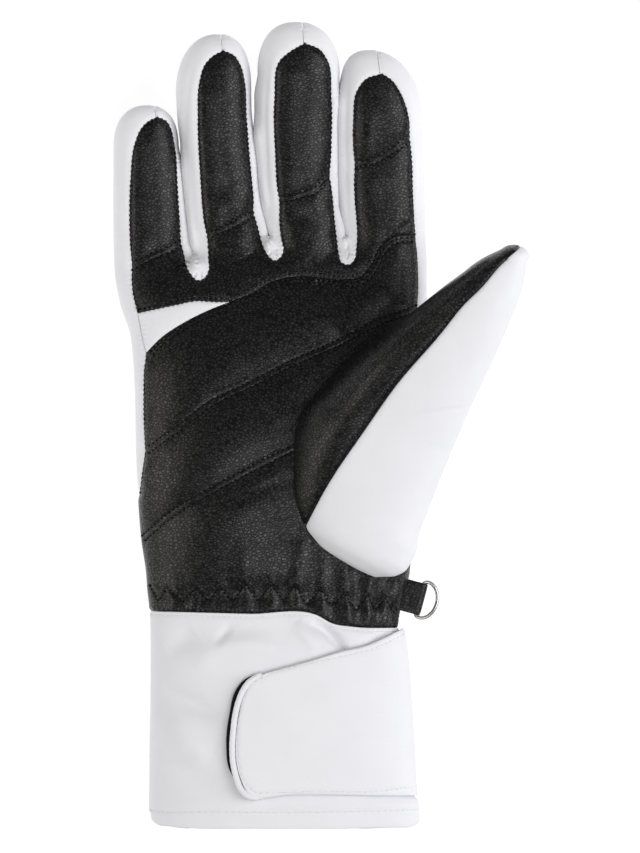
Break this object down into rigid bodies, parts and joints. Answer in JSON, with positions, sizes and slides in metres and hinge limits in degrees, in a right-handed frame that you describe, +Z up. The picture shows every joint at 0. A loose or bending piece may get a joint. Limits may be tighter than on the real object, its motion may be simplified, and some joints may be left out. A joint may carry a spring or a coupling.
{
  "type": "padded winter sport glove",
  "caption": "Padded right-hand winter sport glove in white softshell with a black leather palm, an elastic wrist, a strapped cuff and a hinged D-ring.",
  "frame": {"origin": "on the floor under the middle of the glove lying on its back", "axes": "+Y from the cuff to the fingertips, +X towards the thumb, +Z up out of the palm"},
  "size_m": [0.1434, 0.2794, 0.075],
  "materials": {
    "white_softshell": "smooth matt white softshell with a fine close weave",
    "white_strap": "smooth white softshell over a thin stiff core",
    "black_leather": "black synthetic leather with a fine pebble grain and a soft sheen",
    "hook_tape": "matt black hook tape",
    "ring_metal": "bright plated wire"
  },
  "bodies": {
    "glove": {"back_panel": "white_softshell", "side_strip_little": "white_softshell", "fourchette_little_ring": "white_softshell", "fourchette_ring_middle": "white_softshell", "fourchette_middle_index": "white_softshell", "side_strip_index": "white_softshell", "side_insert": "white_softshell", "upper_palm_leather": "black_leather", "lower_palm_leather": "black_leather", "thumb_shell": "white_softshell", "thumb_leather": "black_leather", "cuff": "white_softshell", "closure_strap": "white_strap", "strap_binding": "white_strap", "hook_pad": "hook_tape", "loop_tab": "black_leather"},
    "ring": {"d_ring": "ring_metal"}
  },
  "joints": [
    {"name": "ring_swing", "type": "hinge", "parent": "glove", "child": "ring", "pos_m": [0.03442, -0.0602, 0.0185], "axis": [0.2588, 0.9659, 0], "range_deg": [-100, 100]}
  ]
}
